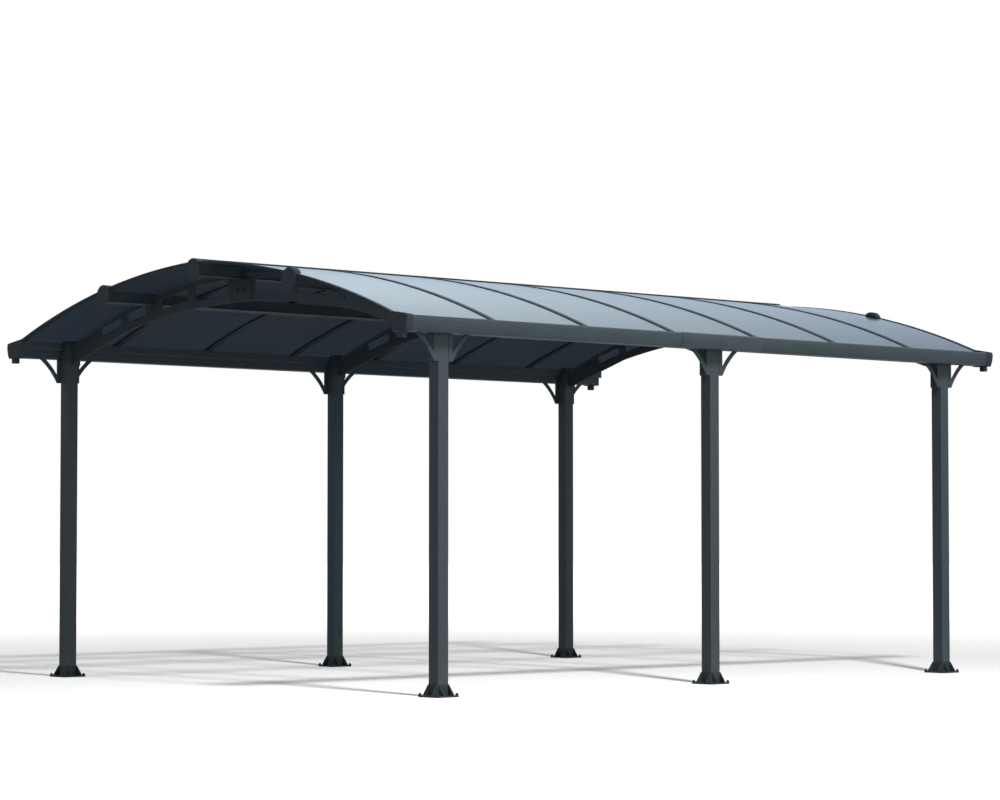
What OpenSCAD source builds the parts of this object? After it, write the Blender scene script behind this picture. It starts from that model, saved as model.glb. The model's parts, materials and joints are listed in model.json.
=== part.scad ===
// Arched carport: a curved roof of tinted sheets on six square posts, open all round.
// Millimetres, +Z up. X runs across the roof (front is +X), Y runs along it, the floor is z = 0.

/* [Roof] */
// Length of the roof over its gable ends
roof_l = 5020; // [3600:10:6400]
// Distance from the ridge to the outer face of a gutter
eave_reach = 1806; // [1640:1:2100]
// Radius of each half of the pointed arch
arch_r = 5068; // [4200:1:6500]
// How far past the ridge each half arch has its centre
arch_shift = 236; // [0:1:400]

/* [Posts] */
// Width of a square post
post_w = 76; // [60:1:100]
// Wall of a post tube
post_wall = 3; // [2:0.5:6]
// Radius of a post's corners
post_r = 4; // [3:0.5:8]
// Distance of the post centres from the outer face of a gutter
post_inset = 139; // [130:1:170]
// Distance of the end posts' centres from the gable ends
gable_reach = 360; // [250:5:600]
// Height of the underside of the gutters
eave_z = 1936.5; // [1850:0.5:2000]

/* [Feet] */
// Width of a foot plate
foot_w = 164; // [150:1:200]
// Thickness of a foot plate
foot_t = 8; // [5:0.5:14]
// Height of the ribbed socket round a post
socket_h = 68; // [50:1:110]
// Wall of the socket
socket_wall = 5; // [3:0.5:7]
// Thickness of a rib
rib_t = 6; // [4:0.5:9]
// Distance of a rib's outer side from the socket's corner
rib_edge = 7; // [4:0.5:14]
// Radius of a foot plate's corners
foot_r = 19; // [6:1:24]
// Distance of an anchor hole from the edges of its plate
anchor_edge = 12.5; // [10:0.5:16]
// Diameter of an anchor hole
anchor_d = 10; // [8:0.5:12]

/* [Knee braces] */
// Drop of a brace below the gutter
brace_drop = 146; // [110:1:200]
// Radius of the hollow side of a brace
brace_r = 442; // [350:1:600]
// Slope of the line from the leg's foot to the middle of that curve
brace_lean = 29; // [20:1:40]
// Width of the curved arm
arm_w = 25; // [15:1:35]
// Thickness of the outer plate
brace_t = 8; // [5:0.5:14]
// Width of the leg seen from outside
leg_w = 30; // [22:1:40]
// Thickness of the flange on the post
leg_t = 9; // [5:0.5:14]

/* [Post heads] */
// Width of a head along the roof
head_w = 120; // [90:1:160]
// Wall of a head
head_wall = 5; // [3:0.5:8]

/* [Gutters] */
// Distance from the outer face of a gutter to its inner wall
gutter_w = 116; // [90:1:130]
// Height of the outer face
fascia_h = 84.5; // [70:0.5:95]
// Radius of the swell of the outer face
fascia_r = 155; // [100:1:500]
// Radius of the outer face's upper corner
corner_r = 15; // [6:1:24]
// Wall of a gutter
gutter_wall = 3; // [2:0.5:4]
// Width of the closed rail the roof rests on
rail_w = 29; // [22:1:36]
// Lowest edge of the rail above the gutter's underside
rail_z = 51; // [40:1:58]
// Height of the rail's inner face, up to the roof
rail_h = 44.3; // [34:0.1:60]
// Radius of the rail's lower inner corner
rail_r = 9; // [4:0.5:12]
// Place of the gutter's joint along Y
splice_y = -35; // [-100:1:100]
// Length of the cover over that joint
cover_l = 688; // [300:1:1000]
// Thickness of that cover
cover_t = 2; // [1.5:0.5:4]
// Width of an end cap along the gutter
endcap_l = 48; // [42:1:70]
// Thickness of an end cap
endcap_t = 4; // [2:0.5:5]
// Width of the square outlet under an end cap
outlet_w = 34; // [24:1:36]
// Length of that outlet
outlet_h = 30; // [10:1:40]
// Distance of the outlet from the cap's outer corner
outlet_in = 38; // [20:1:44]

/* [Roof beams] */
// Distance from the ridge to a side beam
beam_x = 845; // [700:5:1000]
// Width of a roof beam
beam_w = 40; // [30:1:60]
// Depth of a roof beam
beam_h = 65; // [45:1:80]
// Wall of a roof beam
beam_wall = 2.5; // [2:0.5:4]
// Reach of the lips along the lower edges
lip_w = 5; // [2:0.5:10]
// Thickness of those lips
lip_t = 4; // [2:0.5:6]
// Thickness of a beam's end cap
beamcap_t = 4; // [3:0.5:8]
// Radius of the domed hood on an end cap
hood_r = 60; // [40:0.5:80]
// Height of a side beam's hood over the roof surface
hood_rise = 25.5; // [16:0.5:36]
// Height of the ridge beam's hood over the ridge
ridge_hood_rise = 18; // [12:0.5:36]
// Reach of the hood over the roof
hood_l = 45; // [30:1:70]

/* [Trusses] */
// Depth of a truss's upper edge below the roof surface at the ridge
truss_drop = 49; // [30:1:70]
// Depth of that edge below the roof's underside at the posts
truss_end_drop = 39; // [20:1:60]
// Height of a truss at the middle
web_h = 163; // [130:1:190]
// Distance of a truss's foot below the gutter's underside
foot_drop = 30.5; // [15:0.5:50]
// Length of the straight haunch beside a post
haunch_l = 539; // [400:1:700]
// Height of the haunch's inner end above the foot
haunch_rise = 174; // [130:1:200]
// Length of the slots beside the middle plates
slot_l1 = 310; // [200:1:330]
// Height of those slots
slot_h1 = 88; // [60:1:100]
// Height of the slots between them and the side beams
slot_h2 = 62; // [40:1:80]
// Length of the slots just past the side beams
slot_l3 = 180; // [120:1:200]
// Height of those slots
slot_h3 = 50; // [30:1:60]
// Length of the last slots
slot_l4 = 204; // [100:1:220]
// Height of those slots
slot_h4 = 44; // [30:1:54]
// Radius of a slot's corners
slot_r = 14; // [8:1:14]
// How far the slots lie above the middle of the web
slot_rise = 8; // [0:1:14]
// Web left between a slot and the plates at the middle
slot_gap = 20; // [15:1:40]
// Web left between neighbouring slots
bridge = 57; // [30:1:80]
// Web left between a side beam's middle and the slot on its ridge side
land_in = 100; // [70:1:130]
// Web left between a side beam's middle and the slot on its post side
land_out = 54; // [46:1:80]
// Thickness of the web
web_t = 8; // [5:0.5:14]
// Width of the flange along the upper edge
flange_w = 46; // [30:1:64]
// Thickness of that flange
flange_t = 8; // [4:0.5:10]
// Width of the plate on the post
shoe_w = 100; // [76:1:118]
// Thickness of that plate
shoe_t = 6; // [4:0.5:12]
// Width of the plates that join the halves of a truss
splice_w = 200; // [140:2:200]
// Thickness of those plates
splice_t = 5; // [3:0.5:8]
// Distance of those plates from the lower edge of the web
splice_edge = 8; // [4:1:20]

/* [Roof sheets] */
// Number of bays of sheets
bays = 7; // [5:1:9]
// Thickness of a sheet
sheet_t = 8; // [4:0.5:10]
// Thickness of the joint and trim flanges
joint_t = 3; // [2:0.5:4]
// Width of a joint seen from above
joint_top_w = 44; // [16:1:60]
// Width of a joint seen from below
joint_low_w = 44; // [24:1:60]
// Thickness of a joint's web
joint_web = 4; // [2:0.5:6]
// Width of the trim on a gable end
trim_w = 30; // [20:1:50]
// Gap between the sheets at the ridge
ridge_gap = 8; // [4:1:20]
// Width of the ridge strip
strip_w = 56; // [40:1:80]
// Width of its flat top
strip_top_w = 30; // [20:1:50]
// Height of the ridge strip over the roof
strip_h = 16; // [10:1:24]
// Distance the sheets stop short of a gutter's outer face
sheet_back = 84; // [76:1:92]

/* [Fit] */
// Gap left between pieces that seat on each other
fit = 0.3; // [0.2:0.05:0.5]

/* [Hidden] */
$fn = 48;
// How far a cut runs past the face it opens
over = 1;
arc_fn = 720;
row_x = eave_reach - post_inset;
post_in = row_x - post_w / 2;
post_top = eave_z - fit;
gutter_in = eave_reach - gutter_w;
rail_in = gutter_in + gutter_wall - rail_w;
fascia_top = eave_z + fascia_h;
fascia_cx = eave_reach - fascia_r;
fascia_cz = fascia_top - corner_r;
corner_x = eave_reach - corner_r;
sheet_end = eave_reach - sheet_back;
sheet_low = joint_t + fit + sheet_t;
roof_low = sheet_low + fit + joint_t;
seat_low = roof_low + fit;
arch_cz = eave_z + rail_z + rail_h - sqrt(pow(arch_r - seat_low, 2) - pow(rail_in + arch_shift, 2));
crown_z = arch_cz + sqrt(arch_r * arch_r - arch_shift * arch_shift);
top_limit = crown_z + hood_r;
half_l = roof_l / 2;
trim_y = half_l - beamcap_t - fit;
gutter_y = half_l - endcap_t - fit;
endcap_low = eave_z - fit - endcap_t;
outlet_x = eave_reach - outlet_in - outlet_w / 2;
outlet_y = half_l - endcap_t - outlet_w / 2;
pitch_y = (2 * trim_y - 2 * (joint_t + fit)) / bays;
post_y = half_l - gable_reach;
post_ys = [-post_y, 0, post_y];
truss_end = post_in - fit;
truss_top_z = crown_z - truss_drop;
truss_low_z = truss_top_z - web_h;
truss_foot_z = eave_z - foot_drop;
haunch_x = post_in - haunch_l;
haunch_z = truss_foot_z + haunch_rise;
truss_top_r = arc_r(post_in, truss_top_z - (arch_z(post_in, seat_low) - truss_end_drop));
truss_low_r = arc_r(haunch_x, truss_low_z - haunch_z);
slot_mid_r = (truss_top_r + truss_low_r) / 2;
slot_mid_z = (truss_top_z + truss_low_z) / 2 + slot_rise;

// Radius of an arc that drops by a given height at a given distance from its crown
function arc_r(reach, drop) = (reach * reach + drop * drop) / (2 * drop);
// Height of the surface lying a given depth below the roof's outer face
function arch_z(x, depth) =
    arch_cz + sqrt(pow(arch_r - depth, 2) - pow(abs(x) + arch_shift, 2));
function arch_tilt(x) = x == 0 ? 0 : asin((abs(x) + arch_shift) / (arch_r - seat_low)) * sign(x);

// ---------- shared shapes ----------

// Carries an outline drawn across the roof along Y, from y0 to y1
module along(y0, y1) {
    translate([0, y1, 0]) rotate([90, 0, 0]) linear_extrude(height = y1 - y0) children();
}

// Both halves: the outline and its mirror image across the ridge
module both_halves() {
    children();
    mirror([1, 0, 0]) children();
}

// One half of the arch between two depths below its outer face
module half_band(high, low, x0, x1) {
    intersection() {
        translate([-arch_shift, arch_cz]) difference() {
            circle(r = arch_r - high, $fn = arc_fn);
            circle(r = arch_r - low, $fn = arc_fn);
        }
        translate([x0, 0]) square([x1 - x0, top_limit]);
    }
}

// Everything under the arch at a given depth
module under_arch(depth, reach) {
    for (s = [0, 1]) mirror([s, 0]) intersection() {
        translate([-arch_shift, arch_cz]) circle(r = arch_r - depth, $fn = arc_fn);
        square([reach, top_limit]);
    }
}

// A square with rounded corners
module round_square(w, r) {
    difference() {
        square(w, center = true);
        for (sx = [-1, 1], sy = [-1, 1]) translate([sx * w / 2, sy * w / 2]) difference() {
            square(2 * r, center = true);
            translate([-sx * r, -sy * r]) circle(r = r);
        }
    }
}

// A slot along an arc from x0 to x1, with rounded corners
module arc_slot(x0, x1, width) {
    turn = asin((x0 + x1) / 2 / slot_mid_r);
    length = (x1 - x0) / cos(turn);
    rotate(-turn) translate([0, slot_mid_r]) {
        square([length, width - 2 * slot_r], center = true);
        square([length - 2 * slot_r, width], center = true);
        for (sx = [-1, 1], sy = [-1, 1])
            translate([sx * (length / 2 - slot_r), sy * (width / 2 - slot_r)]) circle(r = slot_r);
    }
}

// ---------- posts and feet ----------

module post() {
    translate([0, 0, foot_t + fit]) linear_extrude(height = post_top - foot_t - fit) difference() {
        round_square(post_w, post_r);
        round_square(post_w - 2 * post_wall, post_r - post_wall / 2);
    }
}

// Socket on a flat plate, with two sloping ribs on each side and four anchor holes
module foot() {
    socket_in = post_w + 2 * fit;
    socket_out = socket_in + 2 * socket_wall;
    anchor_x = foot_w / 2 - anchor_edge;
    difference() {
        union() {
            linear_extrude(height = foot_t) round_square(foot_w, foot_r);
            linear_extrude(height = socket_h) round_square(socket_out, post_r + socket_wall);
            for (a = [0 : 90 : 270], s = [-1, 1])
                rotate(a) translate([0, s * (socket_out / 2 - rib_edge - rib_t / 2) + rib_t / 2, 0])
                    rotate([90, 0, 0]) linear_extrude(height = rib_t)
                        polygon([[post_w / 2 + socket_wall, 0], [foot_w / 2, 0],
                                 [foot_w / 2, foot_t + rib_t / 2],
                                 [post_w / 2 + socket_wall, socket_h]]);
        }
        translate([0, 0, foot_t]) linear_extrude(height = socket_h)
            round_square(socket_in, post_r + fit);
        for (sx = [-1, 1], sy = [-1, 1])
            translate([sx * anchor_x, sy * anchor_x, -over]) cylinder(d = anchor_d, h = foot_t + 2 * over);
    }
}

module at_post(side, n) {
    translate([side * row_x, post_ys[n], 0]) children();
}

// ---------- knee braces ----------

// Outline of one brace, drawn along the roof from the post's side face
module brace_outline() {
    y0 = post_w / 2 + fit;
    z0 = post_top - brace_drop;
    cy = y0 + leg_w + brace_r * cos(brace_lean);
    cz = z0 - brace_r * sin(brace_lean);
    intersection() {
        translate([y0, z0]) square([brace_r, brace_drop]);
        union() {
            translate([y0, z0]) square([leg_w, brace_drop]);
            translate([cy, cz]) difference() {
                circle(r = brace_r + arm_w, $fn = arc_fn);
                circle(r = brace_r, $fn = arc_fn);
            }
        }
    }
}

// Curved plate flush with the post's outer face, with a flange across its side
module brace() {
    y0 = post_w / 2 + fit;
    translate([post_w / 2 - brace_t, 0, 0]) rotate([90, 0, 90])
        linear_extrude(height = brace_t) brace_outline();
    translate([-post_w / 2, y0, post_top - brace_drop]) cube([post_w, leg_t, brace_drop]);
}

module brace_pair() {
    brace();
    mirror([0, 1, 0]) brace();
}

module row_of(side) {
    for (y = post_ys) translate([side * row_x, y, 0]) mirror([side < 0 ? 1 : 0, 0, 0]) children();
}

// ---------- post heads ----------

// Hollow block on a post that carries the gutter's rail and the truss
module head_outline(cut) {
    step_z = eave_z + rail_z - fit;
    difference() {
        intersection() {
            translate([post_in + cut, post_top + fit])
                square([gutter_in - fit - post_in - 2 * cut, top_limit - post_top]);
            under_arch(seat_low + cut, eave_reach);
        }
        translate([rail_in - fit - cut, step_z - cut]) square([eave_reach, top_limit]);
    }
}

module heads(side) {
    for (y = post_ys) mirror([side < 0 ? 1 : 0, 0, 0]) difference() {
        along(y - head_w / 2, y + head_w / 2) head_outline(0);
        along(y - head_w / 2 + head_wall, y + head_w / 2 - head_wall) head_outline(head_wall);
    }
}

// ---------- gutters ----------

// Region behind the outer face, grown by a given distance
module behind_fascia(grow) {
    intersection() {
        translate([fascia_cx, fascia_cz]) circle(r = fascia_r + grow, $fn = arc_fn);
        union() {
            square([eave_reach + grow, fascia_cz]);
            translate([corner_x, fascia_cz]) circle(r = corner_r + grow);
        }
    }
}

// Outline of the swelling outer face and its rounded upper corner between two depths
module fascia_band(outer, inner) {
    difference() {
        behind_fascia(outer);
        behind_fascia(-inner);
        square([eave_reach + outer, eave_z]);
        square([gutter_in + gutter_w / 2, top_limit]);
        translate([0, fascia_cz]) square([corner_x, gutter_w]);
    }
}

// Closed rail under the roof's edge, with a rounded lower inner corner
module rail_outline(cut) {
    low = eave_z + rail_z + cut;
    intersection() {
        union() {
            translate([rail_in + cut, low + rail_r]) square([rail_w - 2 * cut, top_limit - low]);
            translate([rail_in + cut + rail_r, low]) square([rail_w - 2 * cut - rail_r, top_limit - low]);
            translate([rail_in + cut + rail_r, low + rail_r]) circle(r = rail_r);
        }
        under_arch(seat_low + cut, eave_reach);
    }
}

module gutter_outline() {
    floor_end = fascia_cx + sqrt(pow(fascia_r, 2) - pow(fascia_cz - eave_z - gutter_wall / 2, 2));
    difference() {
        union() {
            translate([gutter_in, eave_z]) square([gutter_wall, rail_z + gutter_wall]);
            translate([gutter_in, eave_z]) square([floor_end - gutter_in - gutter_wall / 2, gutter_wall]);
            fascia_band(0, gutter_wall);
            rail_outline(0);
        }
        rail_outline(gutter_wall);
    }
}

// Square column over the outlet, smaller than it by a given wall
module outlet_column(wall, z0, z1) {
    translate([outlet_x, outlet_y, z0]) linear_extrude(height = z1 - z0)
        square(outlet_w - 2 * wall, center = true);
}

// Open channel along the eave in two lengths, each with a square drain hole at its outer end
module gutter() {
    for (s = [0, 1]) mirror([0, s, 0]) difference() {
        along((s == 0 ? splice_y : -splice_y) + fit / 2, gutter_y) gutter_outline();
        outlet_column(endcap_t, eave_z - over, eave_z + gutter_wall + over);
    }
}

module gutter_cover() {
    along(splice_y - cover_l / 2, splice_y + cover_l / 2) fascia_band(fit + cover_t, -fit);
}

// Region inside the cap that closes a gutter's end, less a given wall
module endcap_outline(cut) {
    lift = fit + endcap_t - cut;
    low = eave_z - lift;
    intersection() {
        union() {
            behind_fascia(lift);
            translate([0, fascia_cz]) square([corner_x, top_limit]);
        }
        polygon([[gutter_in - cut, low], [gutter_in - cut, arch_z(gutter_in, -lift)],
                 [corner_x, fascia_top + lift], [eave_reach + lift, fascia_top + lift],
                 [eave_reach + lift, low]]);
    }
    intersection() {
        translate([rail_in - cut, eave_z + rail_z - fit]) square([rail_w + gutter_wall, top_limit]);
        under_arch(0, gutter_in + gutter_wall);
    }
}

// Cap over a gutter's end, with a square outlet under the drain hole
module endcap() {
    difference() {
        union() {
            along(half_l - endcap_t, half_l) endcap_outline(0);
            along(half_l - endcap_l, half_l) difference() {
                endcap_outline(0);
                endcap_outline(endcap_t);
                translate([0, eave_z]) square([gutter_in, top_limit - eave_z]);
            }
            outlet_column(0, endcap_low - outlet_h, endcap_low + endcap_t);
        }
        outlet_column(endcap_t, endcap_low - outlet_h - over, endcap_low + endcap_t + over);
    }
}

// ---------- roof beams ----------

module beam_outline() {
    difference() {
        union() {
            translate([-beam_w / 2, -beam_h]) square([beam_w, beam_h]);
            translate([-beam_w / 2 - lip_w, -beam_h]) square([beam_w + 2 * lip_w, lip_t]);
        }
        translate([-beam_w / 2 + beam_wall, -beam_h + beam_wall])
            square([beam_w - 2 * beam_wall, beam_h - 2 * beam_wall]);
    }
}

// Puts an outline on the underside of the roof, square to it
module on_roof(x) {
    low_x = x == 0 ? beam_w / 2 : x;
    translate([x, arch_z(low_x, seat_low)]) rotate(-arch_tilt(x)) children();
}

module beam(x) {
    along(-trim_y, trim_y) on_roof(x) beam_outline();
}

// Face plate over a beam's end with a hood over the roof's edge
module beam_cap(x) {
    hood_z = arch_z(x, 0) + (x == 0 ? ridge_hood_rise : hood_rise) - hood_r;
    along(trim_y + fit, half_l) {
        translate([x, hood_z]) circle(r = hood_r);
        on_roof(x) translate([-beam_w / 2 - lip_w, -beam_h]) square([beam_w + 2 * lip_w, beam_h]);
    }
    along(half_l - hood_l, half_l) difference() {
        translate([x, hood_z]) circle(r = hood_r);
        under_arch(-fit, eave_reach);
    }
}

// ---------- trusses ----------

// The disc under a truss's upper edge, or a distance below that edge
module truss_top_arc(below) {
    translate([0, truss_top_z - truss_top_r]) circle(r = truss_top_r - below, $fn = arc_fn);
}

// The region between the two edges of half a truss, out into the plate on the post
module truss_outline() {
    intersection() {
        truss_top_arc(0);
        translate([fit / 2, truss_foot_z]) square([truss_end - shoe_t / 2 - fit / 2, crown_z]);
        difference() {
            square([truss_end, crown_z]);
            intersection() {
                translate([0, truss_low_z - truss_low_r]) circle(r = truss_low_r, $fn = arc_fn);
                haunch_cut();
            }
        }
    }
}

// The space under a straight haunch that runs on from the lower edge to the post
module haunch_cut() {
    slope = haunch_rise / haunch_l;
    polygon([[-beam_w, 0], [-beam_w, haunch_z + slope * (haunch_x + beam_w)],
             [row_x, haunch_z - slope * (row_x - haunch_x)], [row_x, 0]]);
}

// Slots through half a web: two on the ridge side of the side beam, two on the post side
module truss_slots() {
    x1 = splice_w / 2 + slot_gap;
    x2 = x1 + slot_l1 + bridge;
    x3 = beam_x + land_out;
    x4 = x3 + slot_l3 + bridge;
    translate([0, slot_mid_z - slot_mid_r]) {
        arc_slot(x1, x1 + slot_l1, slot_h1);
        arc_slot(x2, beam_x - land_in, slot_h2);
        arc_slot(x3, x3 + slot_l3, slot_h3);
        arc_slot(x4, x4 + slot_l4, slot_h4);
    }
}

// One half of a truss: slotted web with an upper flange, a plate on the post and notches for the beams
module half_truss(y) {
    shoe_z = truss_foot_z - flange_t;
    difference() {
        union() {
            along(y - web_t / 2, y + web_t / 2) difference() {
                truss_outline();
                truss_slots();
            }
            along(y - flange_w / 2, y + flange_w / 2) difference() {
                truss_outline();
                truss_top_arc(flange_t);
            }
            along(y - shoe_w / 2, y + shoe_w / 2) translate([truss_end - shoe_t, shoe_z])
                square([shoe_t, arch_z(post_in, seat_low) - flange_t - shoe_z]);
        }
        for (x = [0, beam_x]) along(y - shoe_w, y + shoe_w) on_roof(x) {
            translate([-beam_w / 2 - fit, -beam_h - fit])
                square([beam_w + 2 * fit, beam_h * 2]);
            translate([-beam_w / 2 - lip_w - fit, -beam_h - fit])
                square([beam_w + 2 * lip_w + 2 * fit, lip_t + 2 * fit]);
        }
    }
}

// Both halves of a truss, which meet under the plates at the middle
module truss(y) {
    both_halves() half_truss(y);
}

// Plates on both faces of a web where its two halves meet
module splice_plates() {
    z1 = arch_z(beam_w / 2, seat_low) - beam_h - fit;
    z0 = truss_low_z + splice_edge;
    for (y = post_ys, s = [-1, 1])
        translate([0, y + s * (web_t / 2 + fit + splice_t / 2), (z0 + z1) / 2])
            cube([splice_w, splice_t, z1 - z0], center = true);
}

// ---------- roof skin ----------

// Two curved sheets, one on each side of the ridge
module sheet_bay(n) {
    y0 = -trim_y + joint_t + fit + n * pitch_y;
    lead = n == 0 ? 0 : joint_web / 2 + fit;
    tail = n == bays - 1 ? 0 : joint_web / 2 + fit;
    along(y0 + lead, y0 + pitch_y - tail)
        both_halves() half_band(joint_t + fit, sheet_low, ridge_gap / 2, sheet_end);
}

// Arched H-section between neighbouring bays
module joints() {
    for (n = [1 : bays - 1]) {
        y = -trim_y + joint_t + fit + n * pitch_y;
        along(y - joint_top_w / 2, y + joint_top_w / 2)
            both_halves() half_band(0, joint_t, 0, sheet_end);
        along(y - joint_low_w / 2, y + joint_low_w / 2)
            both_halves() half_band(sheet_low + fit, roof_low, 0, sheet_end);
        along(y - joint_web / 2, y + joint_web / 2)
            both_halves() half_band(0, roof_low, 0, sheet_end);
    }
}

// Arched U-section round the sheets at a gable end
module gable_trim() {
    along(trim_y - trim_w, trim_y) both_halves() half_band(0, joint_t, 0, sheet_end);
    along(trim_y - trim_w, trim_y) both_halves() half_band(sheet_low + fit, roof_low, 0, sheet_end);
    along(trim_y - joint_t, trim_y) both_halves() half_band(0, roof_low, 0, sheet_end);
}

// Bevelled strip over the gap between the sheets at the ridge
module ridge_strip() {
    end_y = half_l - hood_l - fit;
    foot_z = arch_z(strip_w / 2, sheet_t);
    along(-end_y, end_y) difference() {
        polygon([[-strip_w / 2, foot_z], [-strip_top_w / 2, crown_z + strip_h],
                 [strip_top_w / 2, crown_z + strip_h], [strip_w / 2, foot_z]]);
        under_arch(-fit, eave_reach);
    }
}

// ---------- named pieces ----------

module front_post_left() { color("#454D53") at_post(1, 0) post(); }
module front_post_middle() { color("#454D53") at_post(1, 1) post(); }
module front_post_right() { color("#454D53") at_post(1, 2) post(); }
module back_post_left() { color("#454D53") at_post(-1, 0) post(); }
module back_post_middle() { color("#454D53") at_post(-1, 1) post(); }
module back_post_right() { color("#454D53") at_post(-1, 2) post(); }
module front_foot_left() { color("#3A4045") at_post(1, 0) foot(); }
module front_foot_middle() { color("#3A4045") at_post(1, 1) foot(); }
module front_foot_right() { color("#3A4045") at_post(1, 2) foot(); }
module back_foot_left() { color("#3A4045") at_post(-1, 0) foot(); }
module back_foot_middle() { color("#3A4045") at_post(-1, 1) foot(); }
module back_foot_right() { color("#3A4045") at_post(-1, 2) foot(); }
module front_braces() { color("#3F474C") row_of(1) brace_pair(); }
module back_braces() { color("#3F474C") row_of(-1) brace_pair(); }
module front_post_heads() { color("#30363A") heads(1); }
module back_post_heads() { color("#30363A") heads(-1); }
module front_gutter() { color("#4A5258") gutter(); }
module back_gutter() { color("#4A5258") mirror([1, 0, 0]) gutter(); }
module gutter_covers() { color("#4C545A") both_halves() gutter_cover(); }
module front_gutter_cap_left() { color("#333A3E") mirror([0, 1, 0]) endcap(); }
module front_gutter_cap_right() { color("#333A3E") endcap(); }
module back_gutter_cap_left() { color("#333A3E") mirror([1, 0, 0]) mirror([0, 1, 0]) endcap(); }
module back_gutter_cap_right() { color("#333A3E") mirror([1, 0, 0]) endcap(); }
module front_roof_beam() { color("#50585D") beam(beam_x); }
module ridge_beam() { color("#50585D") beam(0); }
module back_roof_beam() { color("#50585D") beam(-beam_x); }
module beam_end_caps() {
    color("#333A3E") for (x = [-beam_x, 0, beam_x], s = [0, 1]) mirror([0, s, 0]) beam_cap(x);
}
module truss_left() { color("#596166") truss(-post_y); }
module truss_middle() { color("#596166") truss(0); }
module truss_right() { color("#596166") truss(post_y); }
module truss_splice_plates() { color("#30363A") splice_plates(); }
module roof_bay_1() { color("#9FB0BC", 0.6) sheet_bay(0); }
module roof_bay_2() { color("#9FB0BC", 0.6) sheet_bay(1); }
module roof_bay_3() { color("#9FB0BC", 0.6) sheet_bay(2); }
module roof_bay_4() { color("#9FB0BC", 0.6) sheet_bay(3); }
module roof_bay_5() { color("#9FB0BC", 0.6) sheet_bay(4); }
module roof_bay_6() { color("#9FB0BC", 0.6) sheet_bay(5); }
module roof_bay_7() { color("#9FB0BC", 0.6) for (n = [6 : bays - 1]) sheet_bay(n); }
module roof_joints() { color("#3A4146") joints(); }
module gable_trim_left() { color("#3A4146") mirror([0, 1, 0]) gable_trim(); }
module gable_trim_right() { color("#3A4146") gable_trim(); }
module ridge_cover() { color("#3A4146") ridge_strip(); }

front_post_left();
front_post_middle();
front_post_right();
back_post_left();
back_post_middle();
back_post_right();
front_foot_left();
front_foot_middle();
front_foot_right();
back_foot_left();
back_foot_middle();
back_foot_right();
front_braces();
back_braces();
front_post_heads();
back_post_heads();
front_gutter();
back_gutter();
gutter_covers();
front_gutter_cap_left();
front_gutter_cap_right();
back_gutter_cap_left();
back_gutter_cap_right();
front_roof_beam();
ridge_beam();
back_roof_beam();
beam_end_caps();
truss_left();
truss_middle();
truss_right();
truss_splice_plates();
roof_bay_1();
roof_bay_2();
roof_bay_3();
roof_bay_4();
roof_bay_5();
roof_bay_6();
roof_bay_7();
roof_joints();
gable_trim_left();
gable_trim_right();
ridge_cover();
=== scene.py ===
# %% [markdown]
# An arched carport: a curved roof of tinted sheets on slotted trusses, carried by six square
# posts. The solid pieces come ready made, each at its real place and size, in metres. This
# script gives each of them a finish, adds the small parts that a fitter would add last, such as
# bolts, screws and rubber seals, and then sets up a floor, lamps and a camera.

# %% Load the frame
import bpy
import bmesh
import json
from math import cos, pi, radians, sin, sqrt
from mathutils import Matrix, Vector


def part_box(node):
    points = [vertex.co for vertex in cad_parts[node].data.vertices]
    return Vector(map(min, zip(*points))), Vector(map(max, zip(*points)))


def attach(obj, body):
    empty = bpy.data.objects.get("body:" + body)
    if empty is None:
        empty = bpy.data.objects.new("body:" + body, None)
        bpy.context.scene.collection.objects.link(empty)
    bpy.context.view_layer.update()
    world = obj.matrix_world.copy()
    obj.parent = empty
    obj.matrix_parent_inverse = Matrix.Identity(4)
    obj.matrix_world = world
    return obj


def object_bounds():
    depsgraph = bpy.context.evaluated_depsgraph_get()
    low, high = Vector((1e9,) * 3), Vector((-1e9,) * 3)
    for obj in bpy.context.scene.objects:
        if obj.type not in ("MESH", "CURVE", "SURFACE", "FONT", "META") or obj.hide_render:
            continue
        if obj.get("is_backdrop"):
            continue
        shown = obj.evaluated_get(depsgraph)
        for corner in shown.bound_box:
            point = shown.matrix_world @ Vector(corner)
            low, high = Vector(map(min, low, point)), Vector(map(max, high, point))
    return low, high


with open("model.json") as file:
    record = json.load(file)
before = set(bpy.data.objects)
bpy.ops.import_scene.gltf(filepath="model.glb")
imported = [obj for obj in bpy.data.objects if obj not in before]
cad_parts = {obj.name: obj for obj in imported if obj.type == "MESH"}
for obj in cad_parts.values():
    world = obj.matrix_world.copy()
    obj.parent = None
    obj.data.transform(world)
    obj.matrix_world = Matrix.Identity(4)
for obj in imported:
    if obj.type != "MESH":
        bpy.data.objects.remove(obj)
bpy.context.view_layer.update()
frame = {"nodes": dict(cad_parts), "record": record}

# %% [markdown]
# A carport is long and low, so it is looked at from a corner and from below the eaves: both the
# open gable and the long side show, and so does the underside of the roof. A long lens keeps the
# posts nearly parallel. The camera is turned by its own angles and needs no target object.

# %% Set up the camera
CAMERA_PLACE = (13.8844, -13.4253, 0.8583)
CAMERA_TILT = radians(90 + 2.4983)
CAMERA_TURN = radians(46.1666)
LENS = 112.0

scene = bpy.context.scene
lens_data = bpy.data.cameras.new("corner_view")
lens_data.lens = LENS
camera = bpy.data.objects.new("corner_view", lens_data)
camera.location = CAMERA_PLACE
camera.rotation_euler = (CAMERA_TILT, 0, CAMERA_TURN)
scene.collection.objects.link(camera)
scene.camera = camera
scene.view_settings.view_transform = "Standard"
print("camera", CAMERA_PLACE, "lens", LENS, "mm")

# %% [markdown]
# Finishes are networks of small nodes. A few helpers keep each network readable. The first places
# a node and sets or feeds its sockets in one line, and the next two open and place a node group,
# a small network with named inputs and outputs that many finishes share, each with its own
# values. The others are the steps that come up again and again, such as noise or a mix of colours.

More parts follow.
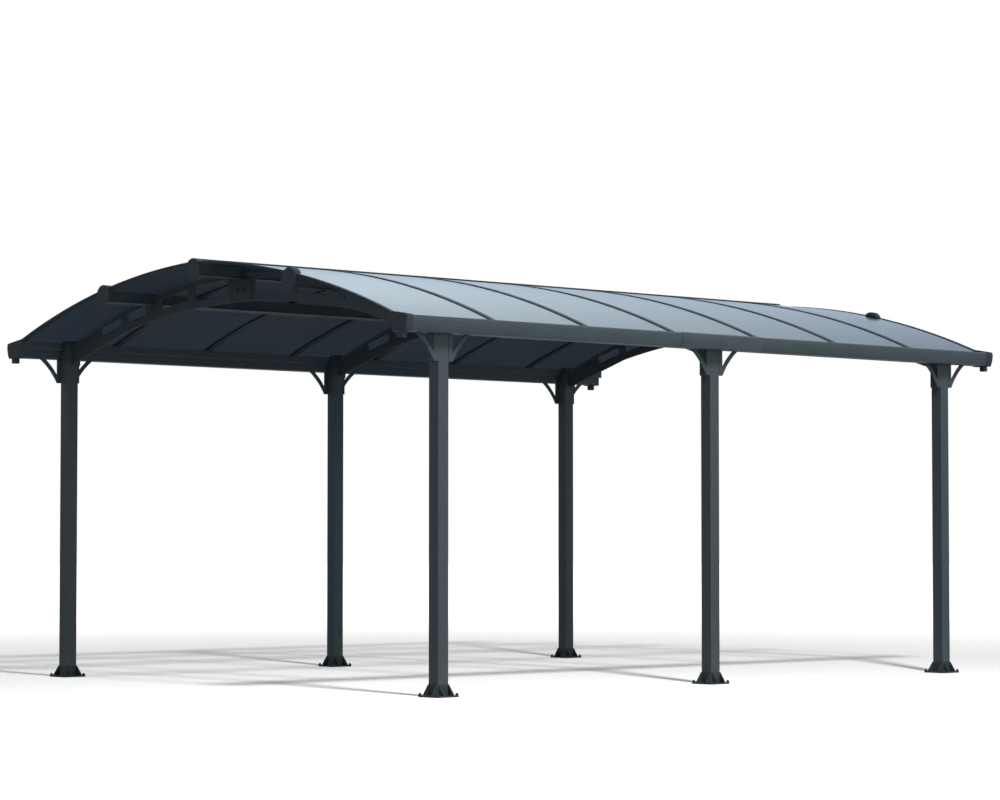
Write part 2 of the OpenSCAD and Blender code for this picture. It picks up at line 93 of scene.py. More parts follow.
# %% Helpers for shader networks
def put(tree, kind, feeds=None, **settings):
    """Adds a node. feeds gives each socket a value or another node's output."""
    made = tree.nodes.new(kind)
    for name, value in settings.items():
        setattr(made, name, value)
    for socket, value in (feeds or {}).items():
        if isinstance(value, bpy.types.NodeSocket):
            tree.links.new(value, made.inputs[socket])
        else:
            made.inputs[socket].default_value = value
    return made


def open_group(name, inputs, outputs):
    """Starts a node group and returns its tree, its input sockets and its output node."""
    tree = bpy.data.node_groups.new(name, "ShaderNodeTree")
    for label, kind, value in inputs:
        tree.interface.new_socket(label, in_out="INPUT", socket_type=kind).default_value = value
    for label, kind in outputs:
        tree.interface.new_socket(label, in_out="OUTPUT", socket_type=kind)
    entry = tree.nodes.new("NodeGroupInput")
    exit_node = tree.nodes.new("NodeGroupOutput")
    return tree, entry.outputs, exit_node


def use_group(tree, group, feeds=None):
    """Places a group in a finish and returns its outputs."""
    return put(tree, "ShaderNodeGroup", feeds, node_tree=group).outputs


def sums(tree, operation, first, second=0.0, third=0.0):
    """One step of arithmetic on values."""
    feeds = {0: first, 1: second, 2: third}
    return put(tree, "ShaderNodeMath", feeds, operation=operation).outputs[0]


def remap(tree, value, low, high, to_low=0.0, to_high=1.0):
    """Stretches the part of a value between low and high, and clamps it."""
    feeds = {"Value": value, "From Min": low, "From Max": high, "To Min": to_low, "To Max": to_high}
    return put(tree, "ShaderNodeMapRange", feeds).outputs[0]


def blend_colour(tree, share, first, second, blend_type="MIX"):
    """Mixes two colours by a share from 0 to 1."""
    return put(tree, "ShaderNodeMix", {0: share, 6: first, 7: second},
               data_type="RGBA", blend_type=blend_type).outputs[2]


def here(tree):
    """The point on the object, in metres in the frame that all the pieces share."""
    return put(tree, "ShaderNodeTexCoord").outputs["Object"]


def noise(tree, scale, detail):
    """Cloudy noise from 0 to 1. The larger the scale, the smaller its patches."""
    feeds = {"Vector": here(tree), "Scale": scale, "Detail": detail}
    return put(tree, "ShaderNodeTexNoise", feeds).outputs[0]


def along(tree, vector, axis):
    """One of the three parts of a vector."""
    return put(tree, "ShaderNodeSeparateXYZ", {0: vector}).outputs[axis]


def facing_up(tree):
    """How far the surface faces up, from -1 to 1."""
    return along(tree, put(tree, "ShaderNodeNewGeometry").outputs["Normal"], "Z")


print("helpers for shader networks are ready")

# %% [markdown]
# Powder coat isn't one even colour. The dry powder lands a little thicker here and there, so the
# tone drifts slowly over a hand's width and is speckled at the size of a grain. An image would
# repeat over five metres of gutter. Noise at two sizes never does, so the coat is made from that.

# %% Node group: tone of a powder coat
DRIFT_SCALE = 5.0
GRAIN_SCALE = 420.0
DRIFT_DULLING = 0.3  # share of the unevenness that goes into the roughness
GRAIN_DULLING = 0.12


def make_coat_tone():
    """The colour and roughness of a coat that is a little uneven."""
    tree, given, out = open_group("coat tone", [
        ("Paint", "NodeSocketColor", (0.05, 0.06, 0.065, 1)),
        ("Drift", "NodeSocketFloat", 0.1),
        ("Speckle", "NodeSocketFloat", 0.06),
        ("Gloss loss", "NodeSocketFloat", 0.5),
    ], [("Colour", "NodeSocketColor"), ("Roughness", "NodeSocketFloat")])
    drift = sums(tree, "SUBTRACT", noise(tree, DRIFT_SCALE, detail=3.0), 0.5)
    grain = sums(tree, "SUBTRACT", noise(tree, GRAIN_SCALE, detail=1.0), 0.5)
    uneven = sums(tree, "ADD", sums(tree, "MULTIPLY", drift, given["Drift"]),
                  sums(tree, "MULTIPLY", grain, given["Speckle"]))
    level = sums(tree, "MULTIPLY_ADD", uneven, 2.0, 1.0)
    shade = put(tree, "ShaderNodeCombineColor", {0: level, 1: level, 2: level}).outputs[0]
    rough = sums(tree, "MULTIPLY_ADD", drift, DRIFT_DULLING, given["Gloss loss"])
    rough = sums(tree, "MULTIPLY_ADD", grain, GRAIN_DULLING, rough)
    tree.links.new(blend_colour(tree, 1.0, given["Paint"], shade, "MULTIPLY"), out.inputs["Colour"])
    tree.links.new(rough, out.inputs["Roughness"])
    return tree


coat_tone = make_coat_tone()
print("made", coat_tone.name)

# %% [markdown]
# A baked coat has a skin like fine orange peel. It is far too shallow to model, and it only shows
# as a soft break-up of the highlights, so it is a height that feeds a bump. Cast and moulded
# pieces use the same group with coarser and deeper values.

# %% Node group: skin of a coat
PIT_WIDTH = 0.45


def make_coat_skin():
    """The height of a skin with peel and pits."""
    tree, given, out = open_group("coat skin", [
        ("Size per metre", "NodeSocketFloat", 260.0),
        ("Pitting", "NodeSocketFloat", 0.3),
    ], [("Height", "NodeSocketFloat")])
    peel = noise(tree, given["Size per metre"], detail=2.0)
    cells = {"Vector": here(tree), "Scale": given["Size per metre"]}
    pits = put(tree, "ShaderNodeTexVoronoi", cells).outputs["Distance"]
    pits = sums(tree, "MULTIPLY", remap(tree, pits, 0.0, PIT_WIDTH), given["Pitting"])
    tree.links.new(sums(tree, "ADD", peel, pits), out.inputs["Height"])
    return tree


coat_skin = make_coat_skin()
print("made", coat_skin.name)

# %% [markdown]
# The edges are painted a little paler. This is a painted highlight, like the one that a rounded
# edge catches. A bevelled normal differs from the true normal only near an edge, so the difference
# between the two is a mask of the edges. Noise breaks it into short lengths.

# %% Node group: painted highlight on the edges
EDGE_STARTS = 0.985  # likeness of the two normals, 1 where they agree
EDGE_FULL = 0.86
HIGHLIGHT_PATCH_SCALE = 26.0
PATCH_EDGES = (0.38, 0.62)


def make_edge_highlight():
    """A mask of the edges for a painted highlight, broken into patches."""
    tree, given, out = open_group("painted edge highlight", [
        ("Reach", "NodeSocketFloat", 0.003),
        ("Highlight", "NodeSocketFloat", 0.5),
    ], [("Mask", "NodeSocketFloat")])
    rounded = put(tree, "ShaderNodeBevel", {"Radius": given["Reach"]}, samples=4).outputs[0]
    plain = put(tree, "ShaderNodeNewGeometry").outputs["Normal"]
    likeness = put(tree, "ShaderNodeVectorMath", {0: rounded, 1: plain},
                   operation="DOT_PRODUCT").outputs["Value"]
    edge = remap(tree, likeness, EDGE_STARTS, EDGE_FULL)
    patches = remap(tree, noise(tree, HIGHLIGHT_PATCH_SCALE, detail=4.0), *PATCH_EDGES)
    mask = sums(tree, "MULTIPLY", sums(tree, "MULTIPLY", edge, patches), given["Highlight"])
    tree.links.new(mask, out.inputs["Mask"])
    return tree


edge_highlight_group = make_edge_highlight()
print("made", edge_highlight_group.name)

# %% [markdown]
# Fine dust settles on what faces up, and rain throws it from the ground on the lowest hand's width
# of a post. The first follows from the slope of the surface and the second from its height over
# the floor. One group makes both masks, since both are the same pale dust.

# %% Node group: settled and splashed dust
CLOUD_SCALE = 14.0
CLOUD_EDGES = (0.3, 0.7)
HOLDS_DUST = 0.55  # how far a surface must face up to hold dust


def make_dust():
    """A mask of the dust on level surfaces and near the ground."""
    tree, given, out = open_group("dust", [
        ("Settled", "NodeSocketFloat", 0.2),
        ("Splashed", "NodeSocketFloat", 0.0),
        ("Splash height", "NodeSocketFloat", 0.25),
    ], [("Mask", "NodeSocketFloat")])
    cloud = remap(tree, noise(tree, CLOUD_SCALE, detail=5.0), *CLOUD_EDGES)
    lying = sums(tree, "MULTIPLY", remap(tree, facing_up(tree), HOLDS_DUST, 1.0), given["Settled"])
    height = sums(tree, "DIVIDE", along(tree, here(tree), "Z"), given["Splash height"])
    low_down = remap(tree, sums(tree, "SUBTRACT", 1.0, height), 0.0, 1.0)
    thrown = sums(tree, "MULTIPLY", low_down, given["Splashed"])
    mask = sums(tree, "MULTIPLY", sums(tree, "ADD", lying, thrown), cloud)
    tree.links.new(mask, out.inputs["Mask"])
    return tree


dust = make_dust()
print("made", dust.name)

# %% [markdown]
# All the metal wears the same kind of coat, and so do the moulded caps, as far as the eye can
# tell. One function builds the finish from the four groups, in layers: the coat, a painted
# highlight on its edges and the dust on top. Values that are even all over, such as the gloss,
# go straight on the shader.

# %% Build a coated finish
DUST_COLOUR = (0.16, 0.165, 0.16, 1)
DUST_DULLING = 0.4
HIGHLIGHT_GAIN = 1.7  # a painted edge highlight is the paint's colour times this, plus the lift
HIGHLIGHT_LIFT = 0.01
COAT_BUMP = 0.6


def start_finish(name):
    """Makes a finish and returns it with its network and its shader."""
    finish = bpy.data.materials.new(name)
    finish.use_nodes = True
    return finish, finish.node_tree, finish.node_tree.nodes["Principled BSDF"]


def feed_shader(tree, shader, colour, rough, height, depth, strength):
    """Links the colour, the roughness and the bump, which every finish has."""
    bump = put(tree, "ShaderNodeBump", {"Height": height, "Distance": depth, "Strength": strength})
    tree.links.new(colour, shader.inputs["Base Color"])
    tree.links.new(rough, shader.inputs["Roughness"])
    tree.links.new(bump.outputs[0], shader.inputs["Normal"])


def coated(name, paint, roughness, drift=0.12, speckle=0.08, skin=260.0, pitting=0.3,
           depth=0.00006, edge_highlight=0.5, settled=0.25, splashed=0.0, gloss=0.12):
    """A dark coated or moulded finish for one kind of piece."""
    finish, tree, shader = start_finish(name)
    tone = use_group(tree, coat_tone, {"Paint": (*paint, 1), "Drift": drift, "Speckle": speckle,
                                       "Gloss loss": roughness})
    # The edges are painted paler here, which is a painted highlight laid on in patches.
    edge_highlight_mask = use_group(tree, edge_highlight_group, {"Highlight": edge_highlight})["Mask"]
    dusty = use_group(tree, dust, {"Settled": settled, "Splashed": splashed})["Mask"]
    highlight_paint = tuple(min(1.0, HIGHLIGHT_GAIN * c + HIGHLIGHT_LIFT) for c in paint)
    colour = blend_colour(tree, edge_highlight_mask, tone["Colour"], (*highlight_paint, 1))
    colour = blend_colour(tree, dusty, colour, DUST_COLOUR)
    rough = sums(tree, "MULTIPLY_ADD", dusty, DUST_DULLING, tone["Roughness"])
    height = use_group(tree, coat_skin, {"Size per metre": skin, "Pitting": pitting})["Height"]
    feed_shader(tree, shader, colour, rough, height, depth, COAT_BUMP)
    shader.inputs["Specular IOR Level"].default_value = gloss
    return finish


print("coated finishes can be made")

# %% [markdown]
# The metal is one dark blue-grey, but the castings are a little darker and rougher than the drawn
# profiles, and so are the caps. The values of each finish stand in one list, which shows at a
# glance how they differ. What the cast, bent and drawn pieces share is written once.

# %% The coats of the pieces
CASTING = dict(roughness=0.56, skin=180.0, pitting=0.9, depth=0.00016)
BENT = dict(pitting=0.5, depth=0.0001)
DRAWN = dict(roughness=0.44, drift=0.16)
# The value that pales the edges of a coat sets the strength of its painted edge highlight.
COATS = {
    "post_paint": dict(paint=(0.047, 0.059, 0.064), roughness=0.46, splashed=0.25),
    "foot_casting": dict(CASTING, paint=(0.023, 0.031, 0.034), splashed=0.2, edge_highlight=0.7),
    "brace_paint": dict(BENT, paint=(0.045, 0.056, 0.061), roughness=0.48),
    "head_casting": dict(CASTING, paint=(0.033, 0.041, 0.045)),
    "gutter_paint": dict(DRAWN, paint=(0.045, 0.058, 0.065)),
    "cover_paint": dict(DRAWN, paint=(0.046, 0.060, 0.067)),
    "cap_plastic": dict(paint=(0.028, 0.036, 0.042), roughness=0.58, skin=520.0, pitting=0.6,
                        depth=0.00008, edge_highlight=0.25),
    "beam_paint": dict(paint=(0.042, 0.052, 0.057), roughness=0.46),
    "truss_paint": dict(BENT, paint=(0.040, 0.050, 0.056), roughness=0.50),
    "plate_paint": dict(paint=(0.032, 0.040, 0.044), roughness=0.50),
    "trim_paint": dict(paint=(0.022, 0.031, 0.038), roughness=0.46, settled=0.10, gloss=0.06),
}
finishes = {name: coated(name, **values) for name, values in COATS.items()}
print(len(finishes), "coated finishes")

# %% [markdown]
# The roof is clear plastic sheet, tinted blue-grey and made as two thin skins joined by many small
# walls, so it has channels that run from ridge to eave. The channels are a few millimetres wide.
# They show as fine stripes, so they are a pattern across the sheet and not geometry.

# %% Node group: channels of a twin-wall sheet
WALL_BLUR = 0.05


def make_channels():
    """A mask of the walls, and the height of a skin that sags a little between them."""
    tree, given, out = open_group("channels", [
        ("Pitch", "NodeSocketFloat", 0.0095),
        ("Wall share", "NodeSocketFloat", 0.14),
    ], [("Wall", "NodeSocketFloat"), ("Height", "NodeSocketFloat")])
    phase = sums(tree, "FRACT", sums(tree, "DIVIDE", along(tree, here(tree), "Y"), given["Pitch"]))
    from_wall = sums(tree, "ABSOLUTE", sums(tree, "SUBTRACT", phase, 0.5))
    wall = remap(tree, sums(tree, "SUBTRACT", given["Wall share"], from_wall), 0.0, WALL_BLUR)
    tree.links.new(wall, out.inputs["Wall"])
    tree.links.new(sums(tree, "MULTIPLY", from_wall, from_wall), out.inputs["Height"])
    return tree


channels = make_channels()
print("made", channels.name)

# %% [markdown]
# Seen flat on, the sheet is dark and lets a little light through, blurred by its channels. From
# outside and at a low angle its smooth skin mirrors the bright surroundings, which is why the same
# roof looks dark from below and pale from above. A see-through shader with a dark tint gives the
# first, and a clear coat that lies only on what faces up gives the second.

# %% Build the sheet finish
SHEET_TINT = (0.047, 0.057, 0.067)
WALL_TINT = (0.059, 0.071, 0.082)
SHEET_DUST = 0.10
FILM_SCALE = 3.0
SHEET_ROUGH = (0.42, 0.46)
WALL_ROUGH = 0.06
COAT_FROM = 0.0  # how far a surface must face up to have the clear skin
COAT_FULL = 0.2
SAG_DEPTH = 0.0002
SAG_BUMP = 0.35


def tinted_sheet(name):
    """A dark see-through sheet with fine channels and a smooth upper skin."""
    finish, tree, shader = start_finish(name)
    shader.inputs["Transmission Weight"].default_value = 0.8
    shader.inputs["IOR"].default_value = 1.04
    shader.inputs["Specular IOR Level"].default_value = 0.1
    shader.inputs["Coat IOR"].default_value = 1.65
    shader.inputs["Coat Roughness"].default_value = 0.16
    marks = use_group(tree, channels)
    colour = blend_colour(tree, marks["Wall"], (*SHEET_TINT, 1), (*WALL_TINT, 1))
    dusty = use_group(tree, dust, {"Settled": SHEET_DUST})["Mask"]
    colour = blend_colour(tree, dusty, colour, DUST_COLOUR)
    film = remap(tree, noise(tree, FILM_SCALE, detail=4.0), *CLOUD_EDGES, *SHEET_ROUGH)
    rough = sums(tree, "MULTIPLY_ADD", marks["Wall"], WALL_ROUGH, film)
    skin = remap(tree, facing_up(tree), COAT_FROM, COAT_FULL)
    tree.links.new(skin, shader.inputs["Coat Weight"])
    feed_shader(tree, shader, colour, rough, marks["Height"], SAG_DEPTH, SAG_BUMP)
    return finish


finishes["roof_sheet"] = tinted_sheet("roof_sheet")
print("made", finishes["roof_sheet"].name)

# %% [markdown]
# The record says which finish each solid takes. The solids have mathematically sharp edges, which
# no drawn or cast piece has, so a weld joins their faces and a bevel of about a millimetre rounds
# their edges. Both are modifiers: the solids' own shapes stay as they are.

# %% Dress the solids
WELD_DISTANCE = 0.00001
SHARP_ANGLE = radians(40)
EDGE_ROUNDING = {"foot_casting": 0.0014, "head_casting": 0.0014, "cap_plastic": 0.0012,
                 "brace_paint": 0.0010, "truss_paint": 0.0009, "beam_paint": 0.0007,
                 "plate_paint": 0.0007, "gutter_paint": 0.0006, "cover_paint": 0.0004,
                 "trim_paint": 0.0005}


def round_edges(solid, width):
    """Rounds the sharp edges of a solid without touching its mesh."""
    join = solid.modifiers.new("join", "WELD")
    join.merge_threshold = WELD_DISTANCE
    edge = solid.modifiers.new("edge", "BEVEL")
    edge.width = width
    edge.segments = 2
    edge.limit_method = "ANGLE"
    edge.angle_limit = SHARP_ANGLE
    edge.harden_normals = True


for row in frame["record"]["subparts"]:
    solid = frame["nodes"][row["node"]]
    solid.data.materials.clear()
    solid.data.materials.append(finishes[row["material_slot"]])
    if row["material_slot"] in EDGE_ROUNDING:
        round_edges(solid, EDGE_ROUNDING[row["material_slot"]])

# %% [markdown]
# The small parts are turned or hexagonal. A turned shape is one outline carried round an axis,
# which is what a lathe does, and with six steps the same helper makes a hexagon. All the bolts
# of one kind are built into one mesh, since they are one item on the fitter's list.

# %% Helpers for small parts
CREASE_ANGLE = radians(35)


def turn(work, outline, place, axis=(0, 0, 1), steps=20):
    """Carries an outline of (radius, height) round an axis that starts at a place."""
    aim = Vector((0, 0, 1)).rotation_difference(Vector(axis)).to_matrix().to_4x4()
    seat = Matrix.Translation(place) @ aim
    rings = []
    for radius, height in outline:
        if radius == 0:
            rings.append([work.verts.new(seat @ Vector((0, 0, height)))])
            continue
        ring = []
        for step in range(steps):
            angle = 2 * pi * step / steps
            spot = Vector((radius * cos(angle), radius * sin(angle), height))
            ring.append(work.verts.new(seat @ spot))
        rings.append(ring)
    for low, high in zip(rings, rings[1:]):
        for step in range(steps):
            after = (step + 1) % steps
            corners = [low[step % len(low)], low[after % len(low)],
                       high[after % len(high)], high[step % len(high)]]
            work.faces.new(list(dict.fromkeys(corners)))


def finish_piece(work, name, slot, finish=None):
    """Turns the mesh into a piece that rides on the body and wears a finish."""
    bmesh.ops.recalc_face_normals(work, faces=work.faces)
    mesh = bpy.data.meshes.new(name)
    work.to_mesh(mesh)
    work.free()
    mesh.shade_smooth()
    mesh.set_sharp_from_angle(angle=CREASE_ANGLE)
    mesh.materials.append(finish or finishes[slot])
    piece = bpy.data.objects.new(name, mesh)
    scene.collection.objects.link(piece)
    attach(piece, "root")
    print(name, len(mesh.polygons), "faces")


def nodes_like(word, without=None):
    """The names of the solids whose names hold one word and not another."""
    return sorted(n for n in frame["nodes"] if word in n and not (without and without in n))


def middle(name):
    """The middle of a solid's box."""
    low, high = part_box(name)
    return (low + high) / 2


print("helpers for small parts are ready")

# %% [markdown]
# Each foot plate is held down by four anchor bolts near its corners. What shows is a washer with a
# hexagonal nut and its domed cap, dark like the foot. The plate's corners come from its box.

# %% Anchor bolts
PLATE_T = 0.008
ANCHOR_INSET = 0.0125  # from the edges of the plate to a bolt
WASHER = [(0, 0), (0.0100, 0), (0.0106, 0.0005), (0.0106, 0.0014), (0.0100, 0.0018), (0, 0.0018)]
NUT = [(0, 0.0018), (0.0090, 0.0018), (0.0094, 0.0024), (0.0094, 0.0072), (0.0084, 0.0080),
       (0, 0.0080)]
DOME = [(0.0078, 0.0078), (0.0074, 0.0100), (0.0060, 0.0124), (0.0034, 0.0142), (0, 0.0148)]

work = bmesh.new()
for name in nodes_like("_foot_"):
    low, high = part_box(name)
    for x in (low.x + ANCHOR_INSET, high.x - ANCHOR_INSET):
        for y in (low.y + ANCHOR_INSET, high.y - ANCHOR_INSET):
            spot = (x, y, PLATE_T)
            turn(work, WASHER, spot)
            turn(work, NUT, spot, steps=6)
            turn(work, DOME, spot)
finish_piece(work, "anchor_bolts", "foot_casting")

# %% [markdown]
# Pan-head screws hold each brace to the side of its post, in two pairs. The head is a low dome
# with a cross-shaped recess. The recess is smaller than a pencil point from any distance, so a
# shallow turned dimple stands for it.

# %% Screws of the braces
SCREW = [(0, 0), (0.0060, 0), (0.0060, 0.0010), (0.0052, 0.0026), (0.0034, 0.0036),
         (0.0020, 0.0038), (0.0012, 0.0024), (0, 0.0022)]
FLANGE_OUT = 0.0473  # from the middle of the post to the outside of the brace's flange
SCREW_DROPS = (0.035, 0.110)  # below the top of the braces
SCREW_SHIFTS = (-0.022, 0.006)  # from the middle of the post towards the gutter

work = bmesh.new()
brace_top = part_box("front_braces")[1].z
for name in nodes_like("_post_", without="heads"):
    spot = middle(name)
    outward = 1 if spot.x > 0 else -1
    for side in (-1, 1):
        for drop in SCREW_DROPS:
            for shift in SCREW_SHIFTS:
                place = (spot.x + outward * shift, spot.y + side * FLANGE_OUT, brace_top - drop)
                turn(work, SCREW, place, axis=(0, side, 0), steps=16)
finish_piece(work, "brace_screws", "brace_paint")

# %% [markdown]
# The two halves of a truss are bolted together through a plate on each face. Two hexagon bolts
# show on every plate, one either side of the joint, each on its washer.

# %% Bolts of the truss plates
BOLT_WASHER = [(0, 0), (0.0115, 0), (0.0120, 0.0006), (0.0120, 0.0015), (0.0115, 0.0020),
               (0, 0.0020)]
BOLT_HEAD = [(0, 0.0020), (0.0088, 0.0020), (0.0092, 0.0026), (0.0092, 0.0070), (0.0080, 0.0080),
             (0, 0.0080)]
PLATE_BOLT_X = 0.031  # from the joint of the two halves


def hexagon_bolt(work, place, axis):
    """Adds a bolt head on its washer."""
    turn(work, BOLT_WASHER, place, axis=axis)
    turn(work, BOLT_HEAD, place, axis=axis, steps=6)


truss_names = nodes_like("truss_", without="plates")
plates_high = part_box("truss_splice_plates")[1]
plate_z = middle("truss_splice_plates").z
plate_out = plates_high.y - max(middle(n).y for n in truss_names)

work = bmesh.new()
for name in truss_names:
    for side in (-1, 1):
        for x in (-PLATE_BOLT_X, PLATE_BOLT_X):
            hexagon_bolt(work, (x, middle(name).y + side * plate_out, plate_z), (0, side, 0))
finish_piece(work, "plate_bolts", "plate_paint")

# %% [markdown]
# At each end a truss has an upright plate that is bolted to the inner face of the post. Two bolts
# stand on each side of the web, one above the other, further out than the flange of the truss.

# %% Bolts of the truss ends
END_PLATE_T = 0.006
END_BOLT_Y = 0.036  # from the middle of the web
END_BOLT_Z = (0.030, 0.110)  # above the foot of the truss

work = bmesh.new()
for name in truss_names:
    low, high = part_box(name)
    for side, face in ((-1, low.x + END_PLATE_T), (1, high.x - END_PLATE_T)):
        for shift in (-END_BOLT_Y, END_BOLT_Y):
            for lift in END_BOLT_Z:
                place = (face, middle(name).y + shift, low.z + lift)
                hexagon_bolt(work, place, (-side, 0, 0))
finish_piece(work, "truss_end_bolts", "truss_paint")

# %% [markdown]
# What lies on the roof follows the arch. Each half of the arch has one radius, with its centre a
# little past the ridge, so one helper gives the height of the roof at any distance out. The other
# carries a small rectangle along it. A curve with a bevel could do the same, but its section
# would turn with the curve, and this one stays upright at the ends.

# %% Helpers for strips along the arch
ARCH_RADIUS = 5.068
ARCH_SHIFT = 0.236  # from the ridge to the centre of the arc, on the other side
ARCH_STEPS = 72
joint_low, joint_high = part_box("roof_joints")
arch_centre_z = joint_high.z - sqrt(ARCH_RADIUS ** 2 - ARCH_SHIFT ** 2)


def arch_height(x, depth):
    """Height of the surface a given depth below the roof's outer face."""
    return arch_centre_z + sqrt((ARCH_RADIUS - depth) ** 2 - (abs(x) + ARCH_SHIFT) ** 2)


def arch_strip(work, ys, depths, x0, x1):
    """Adds a strip along each half of the arch, between two depths and two distances out."""
    (y0, y1), (top, bottom) = sorted(ys), depths
    for side in (-1, 1):
        before = None
        for step in range(ARCH_STEPS + 1):
            x = x0 + (x1 - x0) * step / ARCH_STEPS
            ring = [work.verts.new((side * x, y, arch_height(x, depth)))
                    for y, depth in ((y0, top), (y1, top), (y1, bottom), (y0, bottom))]
            if before:
                for k in range(4):
                    work.faces.new((before[k], before[k - 1], ring[k - 1], ring[k]))
            if step in (0, ARCH_STEPS):
                work.faces.new(ring)
            before = ring


print("the arch rises to", round(joint_high.z, 3), "m and ends", round(joint_high.x, 3), "m out")

# %% [markdown]
# Dark rubber seals lie along both edges of every roof joint, above and below, and keep the rain
# out. Each is a strip two millimetres wide. The upper ones stop short of the strip over the ridge
# and the lower ones nearly meet there. Rubber is duller than any coat and holds no bright edges.

# %% Rubber seals of the roof joints
SEAL_EDGE = 0.022  # from the middle of a joint to its edge
SEAL_W = 0.0020
UPPER_SEAL = {"depths": (0.0010, 0.0033), "x0": 0.030}
LOWER_SEAL = {"depths": (0.0113, 0.0142), "x0": 0.005}
BAYS = 7
first_y = joint_low.y + SEAL_EDGE
pitch = (joint_high.y - joint_low.y - 2 * SEAL_EDGE) / (BAYS - 2)
rubber = coated("seal_rubber", paint=(0.016, 0.020, 0.023), roughness=0.72, skin=700.0,
                pitting=0.2, edge_highlight=0.0, settled=0.15)

work = bmesh.new()
for n in range(BAYS - 1):
    y = first_y + n * pitch
    for side in (-1, 1):
        edges = (y + side * SEAL_EDGE, y + side * (SEAL_EDGE + SEAL_W))
        for seal in (UPPER_SEAL, LOWER_SEAL):
            arch_strip(work, edges, x1=joint_high.x, **seal)
finish_piece(work, "joint_seals", "cap_plastic", rubber)

# %% [markdown]
# The object stands on a plain pale floor in front of nothing, so one large flat face is enough. It
# is white in its own colour. Where it is seen directly or through a roof sheet it also glows a
# little, and more with distance, so that it is white between the shadows and has no horizon. The
# light that it throws back on the object is held to that of a mid grey floor, and its mirror
# image is dim, or the undersides of the roof would turn pale.

# %% Floor
FLOOR_HALF = 60.0
FLOOR_GLOW = 0.16
FADE_START = 4.0  # from the middle of the floor, where the glow starts to rise
FADE_END = 14.0
FLOOR_SEEN = (0.86, 0.86, 0.86, 1)
FLOOR_BOUNCE = (0.41, 0.445, 0.48, 1)
MIRROR_SHARE = 0.3  # of the floor's brightness, in a reflection

work = bmesh.new()
corners = [work.verts.new((sx * FLOOR_HALF, sy * FLOOR_HALF, 0))
           for sx, sy in ((-1, -1), (1, -1), (1, 1), (-1, 1))]
work.faces.new(corners)
floor_mesh = bpy.data.meshes.new("floor")
work.to_mesh(floor_mesh)
work.free()
floor = bpy.data.objects.new("floor", floor_mesh)
scene.collection.objects.link(floor)
floor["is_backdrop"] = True

floor_look = bpy.data.materials.new("floor_white")
floor_look.use_nodes = True
tree = floor_look.node_tree
tree.nodes.clear()
rays = put(tree, "ShaderNodeLightPath").outputs
seen = sums(tree, "MAXIMUM", rays["Is Camera Ray"], rays["Is Transmission Ray"])
mirrored = sums(tree, "MULTIPLY", rays["Is Glossy Ray"], MIRROR_SHARE)
seen = sums(tree, "MAXIMUM", seen, mirrored)
floor_colour = blend_colour(tree, seen, FLOOR_BOUNCE, FLOOR_SEEN)
matt = put(tree, "ShaderNodeBsdfDiffuse", {"Color": floor_colour})
from_middle = put(tree, "ShaderNodeVectorMath", {0: here(tree)}, operation="LENGTH")
glow = remap(tree, from_middle.outputs["Value"], FADE_START, FADE_END, FLOOR_GLOW, 1.0)
glow = put(tree, "ShaderNodeEmission", {"Strength": sums(tree, "MULTIPLY", seen, glow)})
both = put(tree, "ShaderNodeAddShader", {0: matt.outputs[0], 1: glow.outputs[0]})
put(tree, "ShaderNodeOutputMaterial", {"Surface": both.outputs[0]})
floor.data.materials.append(floor_look)
print("floor", 2 * FLOOR_HALF, "m wide")

# %% [markdown]
# A soft lamp high at the front and a wide low panel before the long side light the object, and a
# small panel gives the open gable a little. The floor has a lamp of its own, close to the high one.
# It is small, so the shadows of posts and beams keep an edge, and the roof sheets don't hold it
# back, since in the open they let scattered sun through. Light linking keeps the two sets apart:
# a collection of receivers says what a lamp lights, and one of blockers what shades it.

# %% Lamps
def panel(name, place, target, width, height, power):
    """A soft rectangular lamp that faces a target."""
    lamp_data = bpy.data.lights.new(name, "AREA")
    lamp_data.shape = "RECTANGLE"
    lamp_data.size = width
    lamp_data.size_y = height
    lamp_data.energy = power
    lamp = bpy.data.objects.new(name, lamp_data)
    lamp.location = place
    lamp.rotation_euler = (Vector(place) - Vector(target)).to_track_quat("Z", "Y").to_euler()
    lamp.visible_camera = False
    scene.collection.objects.link(lamp)
    return lamp


def collect(name, things, left_out=False):
    """A collection for light linking, of what counts or of what is left out."""
    group = bpy.data.collections.new(name)
    for thing in things:
        group.objects.link(thing)
    if left_out:
        for member in group.collection_objects:
            member.light_linking.link_state = "EXCLUDE"
    return group


high_lamp = panel("high_lamp", place=(9.8, -1.5, 10.2), target=(0.0, 0.0, 0.8),
                  width=3.0, height=3.0, power=1300)
front_panel = panel("front_panel", place=(24.0, 2.0, 3.6), target=(0.0, 2.0, 2.4),
                    width=30.0, height=7.0, power=1660)
left_panel = panel("left_panel", place=(-1.0, -13.0, 3.0), target=(-0.5, -2.0, 1.0),
                   width=5.0, height=4.0, power=72)
floor_lamp = panel("floor_lamp", place=(9.8, -4.0, 10.2), target=(0.0, 0.0, 0.8),
                   width=1.1, height=1.1, power=2220)

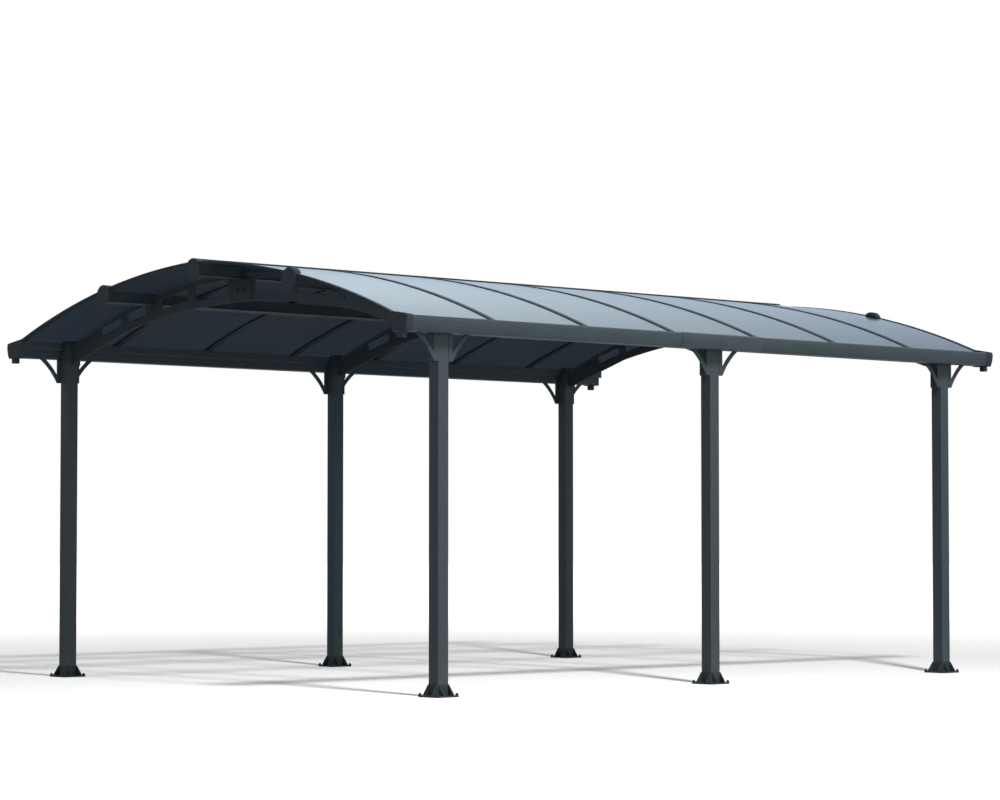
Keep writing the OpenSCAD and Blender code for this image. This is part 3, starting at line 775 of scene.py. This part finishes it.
roof_sheets = [frame["nodes"][n] for n in nodes_like("roof_bay")]
floor_lamp.light_linking.blocker_collection = collect("clear_of_lamp", roof_sheets, left_out=True)
floor_lamp.light_linking.receiver_collection = collect("lit_floor", [floor])
not_floor = collect("not_floor", [floor], left_out=True)
for lamp in (high_lamp, front_panel, left_panel):
    lamp.light_linking.receiver_collection = not_floor
high_lamp.visible_glossy = False
print("lamps", [lamp.name for lamp in (high_lamp, front_panel, left_panel, floor_lamp)])

# %% [markdown]
# An even room light fills the rest. The room is white where it is seen directly or through the
# sheets. In a reflection it is a little blue, as an open sky is, and brighter to one side and
# higher up, so that the roof changes slowly from pale to deep along its length. A world shader
# can tell these apart by the kind of ray that asks, so no painted sky is needed.

# %% Room
ROOM_LIGHT = 0.27
ROOM_WHITE = (1, 1, 1, 1)
WALL_COLOUR = (0.49, 0.61, 0.76, 1)
WALL_BRIGHT = (1.25, 1.47, 1.62, 1)
BRIGHT_SIDE = (0.79, 0.66)  # way along the object, where the wall starts and ends to brighten
BRIGHT_HEIGHT = (0.14, 0.41)  # way upwards, in the same manner

room = bpy.data.worlds.new("room")
scene.world = room
room.use_nodes = True
tree = room.node_tree
tree.nodes.clear()
rays = put(tree, "ShaderNodeLightPath").outputs
seen = sums(tree, "MAXIMUM", rays["Is Camera Ray"], rays["Is Transmission Ray"])
seen = sums(tree, "MAXIMUM", seen, rays["Is Glossy Ray"])
way = put(tree, "ShaderNodeTexCoord").outputs["Generated"]
bright = sums(tree, "MULTIPLY", remap(tree, along(tree, way, "Y"), *BRIGHT_SIDE),
              remap(tree, along(tree, way, "Z"), *BRIGHT_HEIGHT))
mirrored = blend_colour(tree, bright, WALL_COLOUR, WALL_BRIGHT)
colour = blend_colour(tree, rays["Is Glossy Ray"], ROOM_WHITE, mirrored)
level = sums(tree, "MULTIPLY_ADD", seen, 1.0 - ROOM_LIGHT, ROOM_LIGHT)
shell = put(tree, "ShaderNodeBackground", {"Color": colour, "Strength": level})
put(tree, "ShaderNodeOutputWorld", {"Surface": shell.outputs[0]})
print("room light", ROOM_LIGHT)

# %% [markdown]
# The last step measures the box of the dressed object, without the floor, and prints its size.

# %% Measure the dressed size
low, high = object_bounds()
print("dressed size", [round(v, 3) for v in high - low], "m")
